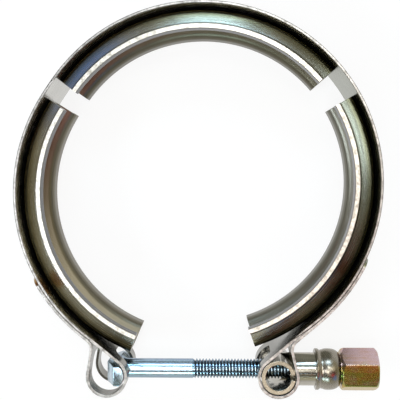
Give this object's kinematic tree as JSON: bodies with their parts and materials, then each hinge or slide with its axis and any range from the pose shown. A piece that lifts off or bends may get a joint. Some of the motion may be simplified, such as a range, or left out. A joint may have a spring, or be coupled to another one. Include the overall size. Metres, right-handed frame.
{
  "type": "v band clamp",
  "caption": "Band clamp for flanged pipe joints: a looped strap with V section retainers inside, closed by a T-bolt, a pivoting trunnion and a captive nut.",
  "frame": {"origin": "on the ring's axis, in the plane of the strap's rear edges, on which the clamp lies", "axes": "+Z along the ring's axis, up out of the lying clamp; +X along the bolt towards the nut; the bolt lies at -Y"},
  "size_m": [0.1102, 0.1189, 0.022],
  "materials": {
    "strap_steel": "bright rolled stainless strip",
    "retainer_steel": "bright roll-formed stainless sheet",
    "trunnion_steel": "bright stamped stainless sheet",
    "ferrule_steel": "satin drawn stainless",
    "nut_plating": "steel with yellow iridescent passivated zinc",
    "bolt_plating": "steel with clear blue passivated zinc"
  },
  "bodies": {
    "band": {"strap": "strap_steel", "retainer_top": "retainer_steel", "retainer_left": "retainer_steel", "retainer_right": "retainer_steel"},
    "trunnion": {"trunnion": "trunnion_steel", "ferrule": "ferrule_steel"},
    "nut": {"nut": "nut_plating"},
    "t_bolt": {"t_bolt": "bolt_plating"}
  },
  "joints": [
    {"name": "trunnion_pivot", "type": "hinge", "parent": "band", "child": "trunnion", "pos_m": [0.0232, -0.0581, 0.011], "axis": [0, 0, 1], "range_deg": [-0.5, 0.5]},
    {"name": "nut_spin", "type": "hinge", "parent": "trunnion", "child": "nut", "pos_m": [0.045, -0.0581, 0.011], "axis": [1, 0, 0], "range_deg": [0, 1260]},
    {"name": "bolt_travel", "type": "slide", "parent": "trunnion", "child": "t_bolt", "axis": [-1, 0, 0], "range_m": [0, 0.0035]}
  ],
  "couplings": [
    {"joint": "nut_spin", "follows": "bolt_travel", "rad_per_m": 6283.2}
  ]
}
